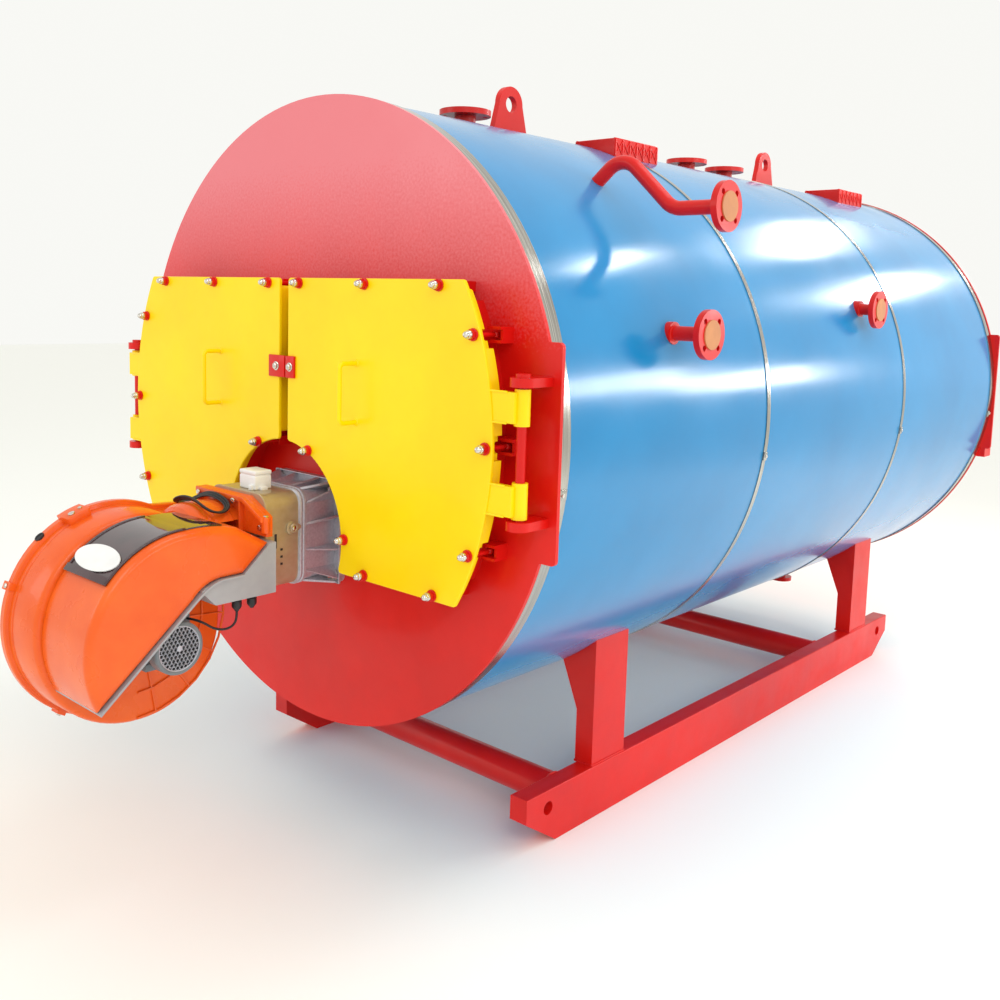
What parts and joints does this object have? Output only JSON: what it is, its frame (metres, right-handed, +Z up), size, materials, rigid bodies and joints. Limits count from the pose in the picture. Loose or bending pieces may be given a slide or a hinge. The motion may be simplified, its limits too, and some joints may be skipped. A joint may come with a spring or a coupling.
{
  "type": "industrial boiler",
  "caption": "Horizontal fire-tube steam boiler on a steel skid, with hinged smoke-box doors, side and crown flanges, lifting lugs and a forced-draught burner.",
  "frame": {"origin": "on the floor, at the middle of the whole object's footprint", "axes": "+X to the boiler's right seen from the burner end, +Y from the burner end to the rear, +Z up"},
  "size_m": [2.216, 4.6469, 2.558],
  "materials": {
    "red_enamel": "gloss red enamel",
    "yellow_enamel": "gloss yellow enamel",
    "blue_sheet": "gloss blue coil-coated sheet",
    "stainless": "bright stainless strip",
    "cap_nut": "plated cap nuts on red washers",
    "blank_disc": "brown fibre blanking disc",
    "cast_aluminium": "raw die casting",
    "champagne": "champagne metallic lacquer",
    "burner_orange": "satin orange powder coat",
    "grey_sheet": "satin grey powder coat",
    "motor_grey": "motor grey",
    "smoked": "smoked moulding",
    "white_plastic": "white moulded plastic",
    "black_plastic": "black polyamide and cable sheath"
  },
  "bodies": {
    "boiler": {"front_plate": "red_enamel", "rear_plate": "red_enamel", "cladding_front": "blue_sheet", "cladding_middle": "blue_sheet", "cladding_rear": "blue_sheet", "trim_front": "stainless", "trim_rear": "stainless", "cladding_bands": "stainless", "skid_right": "red_enamel", "skid_left": "red_enamel", "posts_right": "red_enamel", "posts_left": "red_enamel", "cross_pipes": "red_enamel", "lifting_lugs": "red_enamel", "top_nozzles": "red_enamel", "top_treads": "red_enamel", "gauge_pipe_right": "red_enamel", "gauge_pipe_left": "red_enamel", "side_nozzles_right": "red_enamel", "side_nozzles_left": "red_enamel", "flange_covers": "blank_disc", "drain_branch": "red_enamel", "rear_cover": "red_enamel", "rear_hinges": "red_enamel", "smoke_box": "red_enamel", "bolt_clevises": "red_enamel", "hinge_lugs": "red_enamel", "hinge_pins": "red_enamel", "burner_flange": "cast_aluminium", "burner_head": "champagne", "burner_fan_casing": "burner_orange", "burner_hood": "burner_orange", "hood_window": "smoked", "hood_badge": "white_plastic", "burner_panel": "grey_sheet", "burner_collar": "burner_orange", "control_box": "white_plastic", "burner_motor": "motor_grey", "motor_fan_cover": "motor_grey", "cable_glands": "black_plastic"},
    "door_right": {"door_right_sheet": "yellow_enamel", "door_right_body": "yellow_enamel", "door_right_handle": "yellow_enamel", "door_right_hinges": "yellow_enamel", "door_right_bolts": "cap_nut"},
    "door_left": {"door_left_sheet": "yellow_enamel", "door_left_body": "yellow_enamel", "door_left_handle": "yellow_enamel", "door_left_hinges": "yellow_enamel", "door_left_bolts": "cap_nut"}
  },
  "joints": [
    {"name": "door_right_hinge", "type": "hinge", "parent": "boiler", "child": "door_right", "pos_m": [0.945, -1.4885, 1.382], "axis": [0, 0, 1], "range_deg": [0, 110]},
    {"name": "door_left_hinge", "type": "hinge", "parent": "boiler", "child": "door_left", "pos_m": [-0.945, -1.4885, 1.382], "axis": [0, 0, 1], "range_deg": [-110, 0]}
  ]
}
